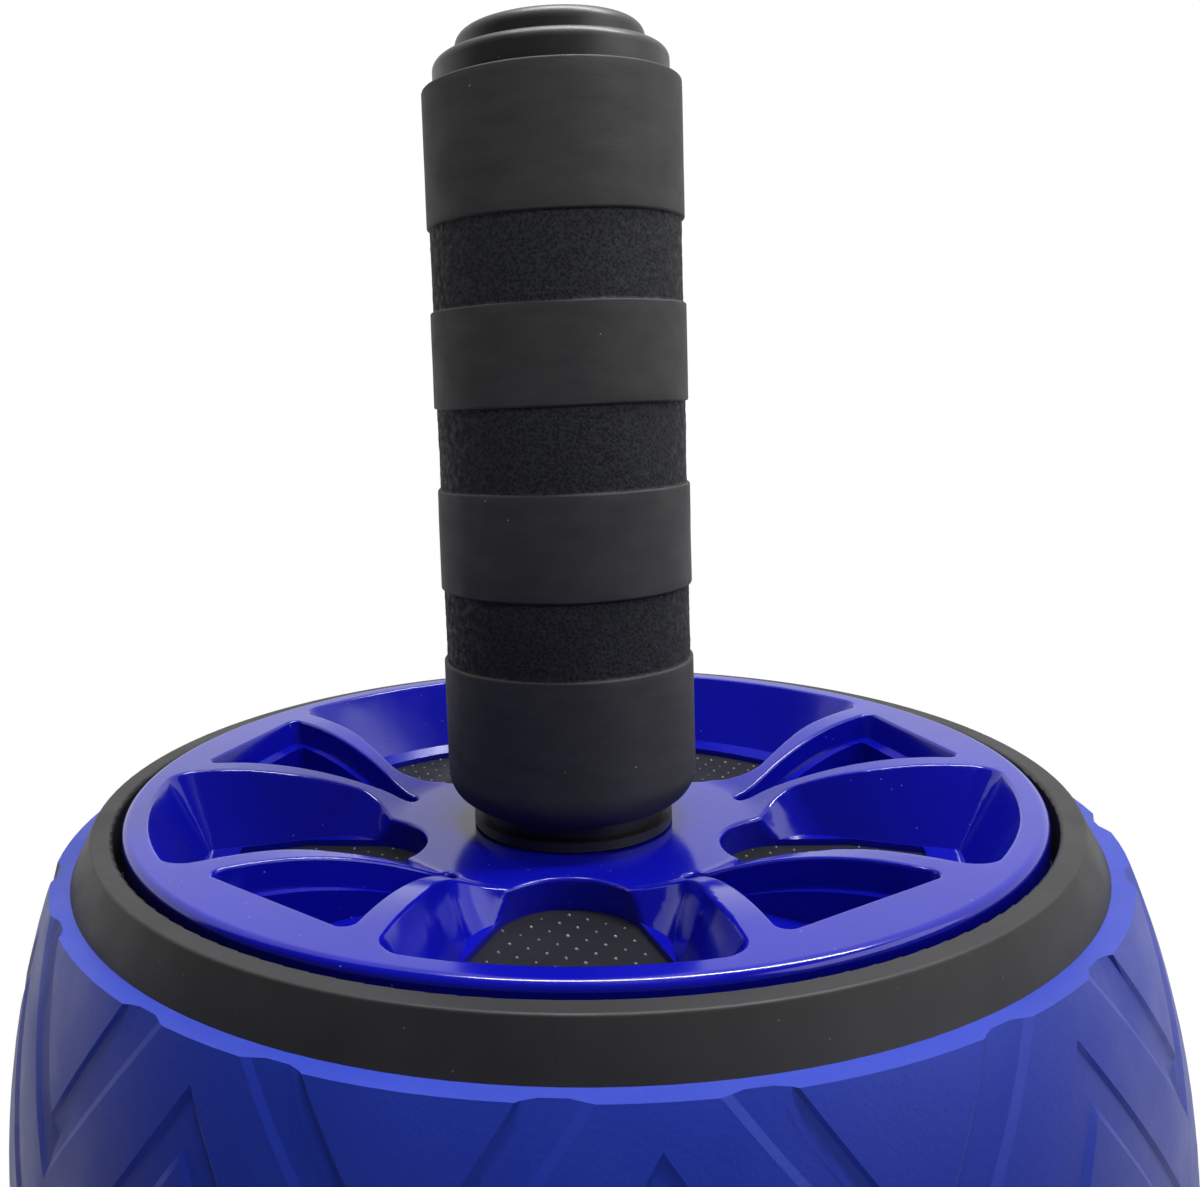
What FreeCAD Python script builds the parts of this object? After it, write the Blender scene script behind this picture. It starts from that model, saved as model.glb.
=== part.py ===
import FreeCAD, Part
import math
import os
import Sketcher
from FreeCAD import Placement, Rotation, Vector

# An ab wheel roller: one wide wheel that turns on a steel axle between two foam handles.
# The axle lies along Y with the wheel's middle at the origin. Left is +Y, right is -Y.
# Every piece is drawn about its own Z axis, which points outwards along the axle,
# with heights measured from the middle of the wheel.

SIZES = {
    # wheel
    "crown_radius": 84.5,
    "crown_drop": 7.7,
    "tread_half_width": 41.3,
    "tread_thickness": 5.0,
    "bond_gap": 0.1,
    "groove_count": 10,
    "groove_depth": 0.9,
    "groove_wall_run": 1.1,
    "outer_groove_inner_reach": 23.0,
    "outer_groove_outer_reach": 15.5,
    "inner_groove_start": 3.7,
    "inner_groove_slope_run": 34.3,
    "inner_groove_height": 7.4,
    # drum halves
    "web_sink": 6.8,
    "drum_wall": 3.0,
    "web_thickness": 3.0,
    "hub_radius": 14.0,
    "hub_bore_radius": 8.0,
    "core_rib_count": 5,
    "core_rib_thickness": 2.5,
    "boss_circle_radius": 46.0,
    "boss_radius": 5.0,
    "screw_radius": 2.0,
    "screw_length": 22.0,
    "screw_head_radius": 3.8,
    "screw_head_height": 2.6,
    "screw_seat_height": 8.0,
    "screw_clearance": 0.2,
    # edge rings, from the tread's shoulder inwards
    "shoulder_ledge": 2.7,
    "ring_taper": 2.9,
    "ring_top_width": 3.05,
    "ring_sink": 1.0,
    "ring_edge_round": 0.5,
    "ring_spigot_wall": 1.8,
    "ring_spigot_depth": 3.0,
    "seat_clearance": 0.1,
    # hub covers, with the plan of windows and leaf pockets as shares of the cover's radius
    "cover_gap": 1.15,
    "cover_depth": 12.0,
    "cover_edge_round": 1.2,
    "cover_bore_radius": 12.9,
    "hub_sink": 7.5,
    "hub_flat_share": 0.425,
    "dish_corner_share": 0.639,
    "window_count": 5,
    "slot_apex_share": 0.0388,
    "slot_notch_share": 0.1493,
    "slot_flare_share": 0.597,
    "slot_half_width_share": 0.1925,
    "slot_end_share": 0.7761,
    "slot_lobe_round": 2.0,
    "mouth_half_width_share": 0.2955,
    "mouth_flare_share": 0.8657,
    "mouth_waist_share": 0.6567,
    "mouth_waist_width_share": 0.2537,
    "mouth_start_share": 0.412,
    "mouth_end_share": 0.9463,
    "mouth_round": 4.0,
    "mouth_hub_round": 4.0,
    "floor_half_width_share": 0.2,
    "floor_flare_share": 0.8657,
    "floor_waist_share": 0.6567,
    "floor_waist_width_share": 0.1955,
    "floor_start_share": 0.4328,
    "floor_end_share": 0.8507,
    "floor_round": 1.0,
    "floor_hub_round": 8.0,
    "floor_sink": 11.0,
    "window_waist_round": 30.0,
    "leaf_mouth_end_share": 0.8776,
    "leaf_mouth_half_width_share": 0.2015,
    "leaf_mouth_waist_share": 0.4522,
    "leaf_mouth_stem_share": 0.0284,
    "leaf_mouth_tip_share": 0.3806,
    "leaf_mouth_round": 1.5,
    "leaf_waist_round": 12.0,
    "leaf_floor_end_share": 0.8418,
    "leaf_floor_half_width_share": 0.1731,
    "leaf_floor_waist_share": 0.4627,
    "leaf_floor_stem_share": 0.0134,
    "leaf_floor_tip_share": 0.4104,
    "leaf_floor_round": 0.8,
    "leaf_floor_sink": 9.6,
    "leaf_ledge_sink": 4.0,
    "leaf_well_end_share": 0.8269,
    "leaf_well_half_width_share": 0.1537,
    "leaf_well_tip_share": 0.5075,
    "leaf_well_stem_share": 0.0164,
    "leaf_edge_round": 0.5,
    "window_edge_round": 0.6,
    # backing plates
    "backing_inset": 1.0,
    "backing_thickness": 1.5,
    "backing_bore_radius": 13.0,
    # axle, bushes and washers
    "journal_radius": 7.0,
    "axle_radius": 6.0,
    "thread_radius": 5.0,
    "thread_length": 14.5,
    "axle_chamfer": 0.8,
    "running_clearance": 0.05,
    "bush_radius": 10.0,
    "bush_length": 22.0,
    "bush_flange_radius": 12.0,
    "bush_flange_thickness": 2.0,
    "thrust_gap": 0.3,
    "thrust_washer_thickness": 1.2,
    "thrust_washer_bore": 7.15,
    "nut_across_flats": 17.0,
    "nut_height": 9.0,
    "nut_washer_radius": 10.2,
    "nut_washer_thickness": 1.6,
    "nut_washer_bore": 5.3,
    # handles
    "collar_radius": 15.2,
    "collar_thickness": 1.4,
    "core_radius": 13.7,
    "neck_length": 2.0,
    "nut_pocket_radius": 10.6,
    "nut_pocket_depth": 22.1,
    "grip_radius": 18.9,
    "grip_sunk_depth": 0.7,
    "grip_foot_band": 22.2,
    "grip_sunk_band": 11.6,
    "grip_middle_band": 14.6,
    "grip_top_band": 19.7,
    "grip_foot_round": 5.0,
    "grip_band_round": 0.5,
    "grip_clearance": 0.15,
    "cap_flange_radius": 17.2,
    "cap_flange_height": 4.4,
    "cap_flange_round": 1.6,
    "cap_top_radius": 13.8,
    "cap_top_height": 3.8,
    "cap_top_round": 2.0,
    "cap_spigot_length": 6.6,
    "cap_spigot_wall": 2.2,
    "overrun": 2.0,
}

doc = FreeCAD.newDocument("ab_wheel_roller")
sheet = doc.addObject("Spreadsheet::Sheet", "sizes")
for row, (alias, number) in enumerate(SIZES.items(), start=1):
    sheet.set(f"A{row}", alias)
    sheet.set(f"B{row}", str(number))
    sheet.setAlias(f"B{row}", alias)
doc.recompute()


class Size:
    """A length worked out from the sheet: its value now, and the text that binds it to the sheet."""

    def __init__(self, value, text):
        self.value = value
        self.text = text

    def joined(self, other, sign, value):
        return Size(value, f"({self.text} {sign} {other.text})")

    def __add__(self, other):
        return self.joined(other, "+", self.value + other.value)

    def __sub__(self, other):
        return self.joined(other, "-", self.value - other.value)

    def __mul__(self, other):
        return self.joined(other, "*", self.value * other.value)

    def __truediv__(self, other):
        return self.joined(other, "/", self.value / other.value)

    def __neg__(self):
        return Size(-self.value, f"(0 - {self.text})")


def size(alias):
    return Size(float(sheet.get(alias)), f"sizes.{alias}")


ZERO = Size(0.0, "0")
TWO = Size(2.0, "2")
# An arc whose ends are this near to a full width apart is held by its centre, not by its radius
HALF_ROUND_SHARE = 0.001
# Rounding of a leaf pocket's narrow end, as a share of its half width
STEM_ROUND_SHARE = Size(0.8, "0.8")
# How much of the dish's slope is taken by the rounding at the rim, and by the one at the hub
DISH_ROUND_SHARE = Size(0.88, "0.88")
HUB_ROUND_SHARE = Size(0.1, "0.1")
# Points this near in mm are taken as one, and faces that turn less than this in radians as smooth
NEAR = 0.001
SMOOTH_TURN = 0.1
# Turns in degrees about the axle: a window faces up at rest, and the tread's peaks lie beside it
UPWARD_TURN = -90.0
TREAD_TURN = 7.0

# Heights and radii that several pieces share
tread_end = size("tread_half_width")
shoulder_radius = size("crown_radius") - size("crown_drop")
ring_foot_radius = shoulder_radius - size("shoulder_ledge")
ring_top_radius = ring_foot_radius - size("ring_taper")
ring_inner_radius = ring_top_radius - size("ring_top_width")
ring_spigot_radius = ring_inner_radius + size("ring_spigot_wall")
ring_seat = tread_end - size("ring_spigot_depth")
cover_radius = ring_inner_radius - size("cover_gap")
web_face = tread_end - size("web_sink")
backing_face = web_face + size("backing_thickness")
cover_foot = backing_face
cover_face = cover_foot + size("cover_depth")
hub_face = cover_face - size("hub_sink")
window_floor = cover_face - size("floor_sink")
flange_face = web_face + size("bush_flange_thickness")
washer_face = flange_face + size("thrust_gap")
journal_end = washer_face + size("thrust_washer_thickness")
collar_face = hub_face + size("thrust_gap")
neck_start = collar_face + size("collar_thickness")
grip_start = neck_start + size("neck_length")
sunk_and_raised = [size("grip_sunk_band"), size("grip_middle_band")]
grip_bands = [size("grip_foot_band"), *sunk_and_raised, *sunk_and_raised]
grip_bands += [size("grip_sunk_band"), size("grip_top_band")]
core_end = grip_start
for band in grip_bands:
    core_end = core_end + band
nut_pocket_floor = core_end - size("nut_pocket_depth")
washer_top = nut_pocket_floor + size("nut_washer_thickness")
cap_step = core_end + size("cap_flange_height")
cap_end = cap_step + size("cap_top_height")
crown_sag = size("crown_drop")
crown_arc = (tread_end * tread_end + crown_sag * crown_sag) / (TWO * crown_sag)


def root(amount):
    return Size(math.sqrt(amount.value), f"sqrt({amount.text})")


def plan(alias):
    """A size in the cover's plan, which is kept as a share of the cover's radius."""
    return cover_radius * size(f"{alias}_share")


def crown_at(inset, height):
    """Radius of the crowned arc, moved inwards by the inset, at a height from the wheel's middle."""
    arc = crown_arc.value - inset.value
    reach = math.sqrt(arc * arc - height.value * height.value)
    centre = size("crown_radius") - crown_arc
    text = f"sqrt(({crown_arc.text} - {inset.text})^2 - {height.text}^2)"
    return centre + Size(reach, text)


def placed(side, turn=0.0):
    """Turns a piece's Z axis onto the axle, outwards on its side, and its X axis upwards."""
    tilt = Rotation(Vector(1, 0, 0), -90 * side)
    return Placement(Vector(0, 0, 0), tilt * Rotation(Vector(0, 0, 1), UPWARD_TURN * side + turn))


def new_body(label):
    body = doc.addObject("PartDesign::Body", label)
    body.Label = label
    return body


def origin(body, role):
    return next(item for item in body.Origin.OriginFeatures if item.Role == role)


def new_sketch(body, name, plane, height=ZERO):
    sketch = body.newObject("Sketcher::SketchObject", f"{body.Name}_{name}")
    sketch.AttachmentSupport = [(origin(body, plane), "")]
    sketch.MapMode = "FlatFace"
    sketch.setExpression("AttachmentOffset.Base.z", height.text)
    return sketch


def bind(sketch, constraint, amount):
    index = sketch.addConstraint(constraint)
    sketch.setExpression(f"Constraints[{index}]", amount.text)


def pin(sketch, geometry, end, x, y):
    """Holds a point at the two sizes, measured from the sketch's origin."""
    for kind, axis, amount in (("DistanceX", -2, x), ("DistanceY", -1, y)):
        if amount.value > 0:
            bind(sketch, Sketcher.Constraint(kind, -1, 1, geometry, end, amount.value), amount)
        elif amount.value < 0:
            bind(sketch, Sketcher.Constraint(kind, geometry, end, -1, 1, -amount.value), -amount)
        else:
            sketch.addConstraint(Sketcher.Constraint("PointOnObject", geometry, end, axis))


def arc_between(start, end, radius, bulge):
    """Short arc between two points. It bulges to the right of the way for +1, to the left for -1."""
    chord = end - start
    half = chord.Length / 2
    left = Vector(-chord.y, chord.x, 0).normalize()
    rise = math.sqrt(max(radius * radius - half * half, 0))
    centre = (start + end) / 2 + left * rise * bulge
    first, last = (start, end) if bulge > 0 else (end, start)
    begin = math.atan2(first.y - centre.y, first.x - centre.x)
    finish = math.atan2(last.y - centre.y, last.x - centre.x)
    return Part.ArcOfCircle(Part.Circle(centre, Vector(0, 0, 1), radius), begin, finish)


def outline(sketch, corners, arcs=None):
    """Closed outline through corners (x, y) or (x, y, rounding). arcs gives sides that are arcs instead
    of lines: {index of the side's first corner: (radius, bulge)}."""
    arcs = arcs or {}
    count = len(corners)
    points = [Vector(corner[0].value, corner[1].value, 0) for corner in corners]
    entering = list(points)
    leaving = list(points)
    for index, corner in enumerate(corners):
        if len(corner) == 3:
            before = (points[index - 1] - points[index]).normalize()
            after = (points[(index + 1) % count] - points[index]).normalize()
            reach = corner[2].value / math.tan(before.getAngle(after) / 2)
            entering[index] = points[index] + before * reach
            leaving[index] = points[index] + after * reach
    sides = []
    for index in range(count):
        start, end = leaving[index], entering[(index + 1) % count]
        if index in arcs:
            radius, bulge = arcs[index]
            geometry = sketch.addGeometry(arc_between(start, end, radius.value, bulge), False)
            if abs((end - start).Length - TWO.value * radius.value) < radius.value * HALF_ROUND_SHARE:
                centre = corners[index][0]
                bind(sketch, Sketcher.Constraint("DistanceX", -1, 1, geometry, 3, centre.value), centre)
            else:
                bind(sketch, Sketcher.Constraint("Radius", geometry, radius.value), radius)
            sides.append((geometry, 1, 2) if bulge > 0 else (geometry, 2, 1))
        else:
            sides.append((sketch.addGeometry(Part.LineSegment(start, end), False), 1, 2))
    for index, corner in enumerate(corners):
        into, _, into_end = sides[index - 1]
        out, out_start, _ = sides[index]
        if len(corner) == 2:
            sketch.addConstraint(Sketcher.Constraint("Coincident", into, into_end, out, out_start))
            pin(sketch, out, out_start, corner[0], corner[1])
            continue
        start, end = entering[index], leaving[index]
        turn = (start - points[index]).cross(end - points[index]).z
        bulge = 1 if turn < 0 else -1
        arc = sketch.addGeometry(arc_between(start, end, corner[2].value, bulge), False)
        first, last = (1, 2) if bulge > 0 else (2, 1)
        mark = sketch.addGeometry(Part.Point(points[index]), True)
        pin(sketch, mark, 1, corner[0], corner[1])
        sketch.addConstraint(Sketcher.Constraint("PointOnObject", mark, 1, into))
        sketch.addConstraint(Sketcher.Constraint("PointOnObject", mark, 1, out))
        sketch.addConstraint(Sketcher.Constraint("Tangent", into, into_end, arc, first))
        sketch.addConstraint(Sketcher.Constraint("Tangent", arc, last, out, out_start))
        bind(sketch, Sketcher.Constraint("Radius", arc, corner[2].value), corner[2])


def revolve(body, name, corners, arcs=None):
    """Turns an outline of (radius, height) corners about the body's Z axis."""
    sketch = new_sketch(body, f"{name}_profile", "XZ_Plane")
    outline(sketch, corners, arcs)
    turned = body.newObject("PartDesign::Revolution", f"{body.Name}_{name}")
    turned.Profile = sketch
    turned.ReferenceAxis = (sketch, ["V_Axis"])
    turned.Angle = 360
    return turned


def turned_piece(label, side, corners, arcs=None):
    body = new_body(label)
    revolve(body, "turning", corners, arcs)
    body.Placement = placed(side)
    return body


def cut_up(body, name, sketch, depth):
    """Cuts a sketch upwards, in the sense of the body's Z axis."""
    pocket = body.newObject("PartDesign::Pocket", f"{body.Name}_{name}")
    pocket.Profile = sketch
    pocket.Reversed = True
    pocket.setExpression("Length", depth.text)
    return pocket


def repeat(body, name, features, count):
    pattern = body.newObject("PartDesign::PolarPattern", f"{body.Name}_{name}")
    pattern.Originals = features
    pattern.Axis = (origin(body, "Z_Axis"), [""])
    pattern.Angle = 360
    pattern.setExpression("Occurrences", count.text)
    body.Tip = pattern
    return pattern


# Tread: a crowned sleeve with two zigzag grooves on each half
def groove_section(turn, near, far):
    """One section of a groove, in the half plane at a turn about the axle: sloped walls, an even depth.
    near and far are the distances of its edges from the shoulder."""
    depth = size("groove_depth").value
    run = size("groove_wall_run").value
    above = size("overrun").value / TWO.value
    flare = run * above / depth
    corners = []
    for reach, outwards in ((near, 1), (far, -1)):
        top = tread_end.value - reach
        floor = top - run * outwards
        edge = (surface_radius(top) + above, top + flare * outwards)
        foot = (surface_radius(floor) - depth, floor)
        corners += [edge, foot] if outwards > 0 else [foot, edge]
    points = []
    for radius, height in corners:
        points.append(Vector(radius * math.cos(turn), radius * math.sin(turn), height))
    return Part.makePolygon(points + points[:1])


def surface_radius(height):
    """Radius of the tread's crowned face at a height, also beyond its ends."""
    arc = crown_arc.value
    return size("crown_radius").value - arc + math.sqrt(arc * arc - height * height)


def groove_legs():
    """The legs of the zigzags from peak to foot, where each meets the next in a mitre. One set of legs for
    each groove, each slant and each half of the tread, carried round the wheel."""
    count = int(size("groove_count").value)
    half_turn = math.pi / count
    near_exit_share = 0.56
    far_exit_share = 0.25
    start_share = 0.2
    outer_near = size("outer_groove_outer_reach").value
    outer_far = size("outer_groove_inner_reach").value
    inner_start = size("inner_groove_start").value
    inner_run = size("inner_groove_slope_run").value
    inner_height = size("inner_groove_height").value
    spans = 3
    wide = size("crown_radius").value + size("overrun").value
    upper_half = Part.makeBox(wide * TWO.value, wide * TWO.value, wide, Vector(-wide, -wide, 0))
    outer = []
    inner = []
    for step in range(spans + 1):
        share = start_share + (1 - start_share) * step / spans
        near = outer_near * (share - near_exit_share) / (1 - near_exit_share)
        far = outer_far * (share - far_exit_share) / (1 - far_exit_share)
        outer.append(groove_section(share * half_turn, near, far))
        share = step / spans
        near = inner_start + inner_run * share
        inner.append(groove_section(share * half_turn, near, near + inner_height))
    sets = []
    for sections in (outer, inner):
        leg = Part.makeLoft(sections, True, False).common(upper_half)
        slants = [leg, leg.mirror(Vector(0, 0, 0), Vector(0, 1, 0))]
        for slant in slants + [item.mirror(Vector(0, 0, 0), Vector(0, 0, 1)) for item in slants]:
            turned = []
            for index in range(count):
                copy = slant.copy()
                copy.rotate(Vector(0, 0, 0), Vector(0, 0, 1), 360.0 * index / count)
                turned.append(copy)
            sets.append(Part.makeCompound(turned))
    return sets


def make_tread():
    body = new_body("tread_blank")
    inset = size("tread_thickness")
    bore = crown_at(inset, tread_end)
    revolve(body, "sleeve", [(bore, -tread_end), (shoulder_radius, -tread_end),
                             (shoulder_radius, tread_end), (bore, tread_end)],
            {1: (crown_arc, 1), 3: (crown_arc - inset, -1)})
    tread = body
    for index, legs in enumerate(groove_legs(), start=1):
        grooves = doc.addObject("Part::Feature", f"tread_grooves_{index}")
        grooves.Shape = legs
        grooved = doc.addObject("Part::Cut", f"tread_stage_{index}")
        grooved.Base = tread
        grooved.Tool = grooves
        tread = grooved
    tread.Label = "tread"
    tread.Placement = placed(1, TREAD_TURN)
    return tread


# Drum halves: a barrel wall, a web behind the cover, a hub for the bush, ribs and screw bosses
def make_wheel_core(label, side, shank_radius, head_recess):
    body = new_body(label)
    skin = size("tread_thickness") + size("bond_gap")
    wall = skin + size("drum_wall")
    web_back = web_face - size("web_thickness")
    bush_radius = size("bush_radius") + size("running_clearance")
    bush_floor = web_face - size("bush_length")
    rabbet = ring_spigot_radius + size("seat_clearance")
    lip = cover_radius + size("seat_clearance")
    revolve(body, "shell", [
        (size("hub_bore_radius"), ZERO), (size("hub_radius"), ZERO), (size("hub_radius"), web_back),
        (crown_at(wall, web_back), web_back), (crown_at(wall, ZERO), ZERO), (crown_at(skin, ZERO), ZERO),
        (crown_at(skin, tread_end), tread_end), (rabbet, tread_end), (rabbet, ring_seat), (lip, ring_seat),
        (lip, web_face), (bush_radius, web_face), (bush_radius, bush_floor),
        (size("hub_bore_radius"), bush_floor)],
        {3: (crown_arc - wall, -1), 5: (crown_arc - skin, 1)})
    bite = size("drum_wall") / TWO
    depth = skin + bite
    rib = new_sketch(body, "rib_profile", "XZ_Plane")
    outline(rib, [(size("hub_radius") - bite, ZERO), (crown_at(depth, ZERO), ZERO),
                  (crown_at(depth, web_back), web_back), (crown_at(depth, web_back), web_back + bite),
                  (size("hub_radius") - bite, web_back + bite)], {1: (crown_arc - depth, 1)})
    plate = body.newObject("PartDesign::Pad", f"{label}_rib")
    plate.Profile = rib
    plate.SideType = "Symmetric"
    plate.setExpression("Length", size("core_rib_thickness").text)
    repeat(body, "ribs", [plate], size("core_rib_count"))
    boss = new_sketch(body, "boss_outline", "XY_Plane")
    circle(boss, size("boss_circle_radius"), ZERO, size("boss_radius"))
    post = body.newObject("PartDesign::Pad", f"{label}_boss")
    post.Profile = boss
    post.setExpression("Length", (web_back + bite).text)
    repeat(body, "bosses", [post], size("core_rib_count"))
    hole = new_sketch(body, "screw_hole_outline", "XY_Plane")
    circle(hole, size("boss_circle_radius"), ZERO, shank_radius)
    drilled = [cut_up(body, "screw_hole", hole, web_back)]
    if head_recess:
        recess = new_sketch(body, "head_recess_outline", "XY_Plane", size("screw_seat_height"))
        head = size("screw_head_radius") + size("screw_clearance")
        circle(recess, size("boss_circle_radius"), ZERO, head)
        drilled.append(cut_up(body, "head_recess", recess, web_face))
    repeat(body, "screw_holes", drilled, size("core_rib_count"))
    body.Placement = placed(side)
    return body


def circle(sketch, x, y, radius):
    drawn = Part.Circle(Vector(x.value, y.value, 0), Vector(0, 0, 1), radius.value)
    geometry = sketch.addGeometry(drawn, False)
    pin(sketch, geometry, 3, x, y)
    bind(sketch, Sketcher.Constraint("Radius", geometry, radius.value), radius)


def make_core_screws():
    """One group of screws, each turned about its own axis on the boss circle."""
    body = new_body("core_screws")
    body.AllowCompound = True
    seat = size("screw_seat_height")
    post = size("boss_circle_radius")
    head = body.newObject("PartDesign::Pad", "core_screws_head")
    sketch = new_sketch(body, "head_outline", "XY_Plane", seat)
    circle(sketch, post, ZERO, size("screw_head_radius"))
    head.Profile = sketch
    head.setExpression("Length", size("screw_head_height").text)
    shank = body.newObject("PartDesign::Pad", "core_screws_shank")
    sketch = new_sketch(body, "shank_outline", "XY_Plane", seat)
    circle(sketch, post, ZERO, size("screw_radius"))
    shank.Profile = sketch
    shank.Reversed = True
    shank.setExpression("Length", size("screw_length").text)
    repeat(body, "set", [head, shank], size("core_rib_count"))
    body.Placement = placed(1)
    return body


def make_edge_ring(label, side):
    top = cover_face - size("ring_sink")
    inner = ring_inner_radius
    rounding = size("ring_edge_round")
    return turned_piece(label, side, [
        (inner, ring_seat), (ring_spigot_radius, ring_seat), (ring_spigot_radius, tread_end),
        (ring_foot_radius, tread_end), (ring_top_radius, top, rounding), (inner, top, rounding)])


# Hub covers: a dished disc, five flared windows through it and five blind leaf pockets between them
def window_outline(sketch, level):
    """A window's outline at its mouth or floor: an outer end that follows the rim, sides that draw in to a
    waist and then run level, an inner end round the hub, all corners rounded."""
    start = plan(f"{level}_start")
    end = plan(f"{level}_end")
    waist = (plan(f"{level}_waist"), plan(f"{level}_waist_width"))
    flare = (plan(f"{level}_flare"), plan(f"{level}_half_width"))
    rounding = size(f"{level}_round")
    hub_rounding = size(f"{level}_hub_round")
    bend = size("window_waist_round")
    corner = Vector(waist[0].value, waist[1].value, 0)
    along = (Vector(flare[0].value, flare[1].value, 0) - corner).normalize()
    inwards = Vector(along.y, -along.x, 0)
    reach = bend.value * math.tan(along.getAngle(Vector(1, 0, 0)) / 2)
    base = corner + inwards * rounding.value
    deep = end.value - rounding.value
    slide = -base.dot(along) + math.sqrt(base.dot(along) ** 2 - base.dot(base) + deep * deep)
    outer_centre = base + along * slide
    middle = hub_rounding + start
    height = waist[1] - hub_rounding
    near = root(middle * middle - height * height)
    inner_centre = Vector(near.value, height.value, 0)
    rim = outer_centre * (end.value / deep)
    side_end = outer_centre - inwards * rounding.value
    side_start = corner + along * reach
    level_end = corner - Vector(reach, 0, 0)
    level_start = Vector(near.value, waist[1].value, 0)
    hub = inner_centre * (start.value / middle.value)

    def flipped(point):
        return Vector(point.x, -point.y, 0)

    pieces = [
        arc_between(flipped(rim), rim, end.value, 1),
        arc_between(rim, side_end, rounding.value, 1),
        Part.LineSegment(side_end, side_start),
        arc_between(side_start, level_end, bend.value, -1),
        Part.LineSegment(level_end, level_start),
        arc_between(level_start, hub, hub_rounding.value, 1),
        arc_between(hub, flipped(hub), start.value, -1),
        arc_between(flipped(hub), flipped(level_start), hub_rounding.value, 1),
        Part.LineSegment(flipped(level_start), flipped(level_end)),
        arc_between(flipped(level_end), flipped(side_start), bend.value, -1),
        Part.LineSegment(flipped(side_start), flipped(side_end)),
        arc_between(flipped(side_end), flipped(rim), rounding.value, 1),
    ]
    first = sketch.addGeometry(pieces, False)[0]
    turned = (3, 6, 9)
    for index in range(len(pieces)):
        after = (index + 1) % len(pieces)
        leave = 1 if index in turned else 2
        enter = 2 if after in turned else 1
        sketch.addConstraint(Sketcher.Constraint("Tangent", first + index, leave, first + after, enter))
    radii = ((0, end), (1, rounding), (3, bend), (5, hub_rounding), (6, start), (7, hub_rounding), (9, bend),
             (11, rounding))
    for index, radius in radii:
        bind(sketch, Sketcher.Constraint("Radius", first + index, radius.value), radius)
    for index in (0, 6):
        sketch.addConstraint(Sketcher.Constraint("Coincident", first + index, 3, -1, 1))
    for index in (4, 8):
        sketch.addConstraint(Sketcher.Constraint("Horizontal", first + index))
    for sides, sign in (((2, 4), 1), ((10, 8), -1)):
        for place, on_sides in ((waist, sides), (flare, sides[:1])):
            x, y = place[0], place[1] if sign > 0 else -place[1]
            mark = sketch.addGeometry(Part.Point(Vector(x.value, y.value, 0)), True)
            pin(sketch, mark, 1, x, y)
            for side in on_sides:
                sketch.addConstraint(Sketcher.Constraint("PointOnObject", mark, 1, first + side))


def slot_outline(sketch):
    """The opening in a window's floor: a round notch in the hub, flared and then level sides, an end that
    follows the rim."""
    half = plan("slot_half_width")
    end = plan("slot_end")
    flare = plan("slot_flare")
    far = root(end * end - half * half)
    outline(sketch, [(plan("slot_apex"), ZERO, plan("slot_notch")), (flare, -half), (far, -half), (far, half),
                     (flare, half)], {2: (end, 1)})


def leaf_outline(sketch, level):
    """A leaf pocket's outline at its mouth or floor: wide at the rim, a narrow stem towards the hub."""
    end = plan(f"leaf_{level}_end")
    half = plan(f"leaf_{level}_half_width")
    stem = plan(f"leaf_{level}_stem")
    waist = plan(f"leaf_{level}_waist")
    tip = plan(f"leaf_{level}_tip")
    rounding = size(f"leaf_{level}_round")
    small = stem * STEM_ROUND_SHARE
    bend = size("leaf_waist_round")
    outline(sketch, [(tip, -stem, small), (waist, -stem, bend), (end, -half, rounding),
                     (end, half, rounding), (waist, stem, bend), (tip, stem, small)])


def dish_corners(sink):
    """The cover's top from the rim to the hub, lowered by a sink: a flat rim, a soft slope, a flat hub."""
    outer = plan("dish_corner")
    inner = plan("hub_flat")
    run = outer - inner
    rise = size("hub_sink")
    slope = root(run * run + rise * rise)
    reach = slope * rise / (slope - run)
    rim_corner = (outer, cover_face - sink, reach * DISH_ROUND_SHARE)
    hub_corner = (inner, hub_face - sink, reach * HUB_ROUND_SHARE)
    return [rim_corner, hub_corner]


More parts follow.
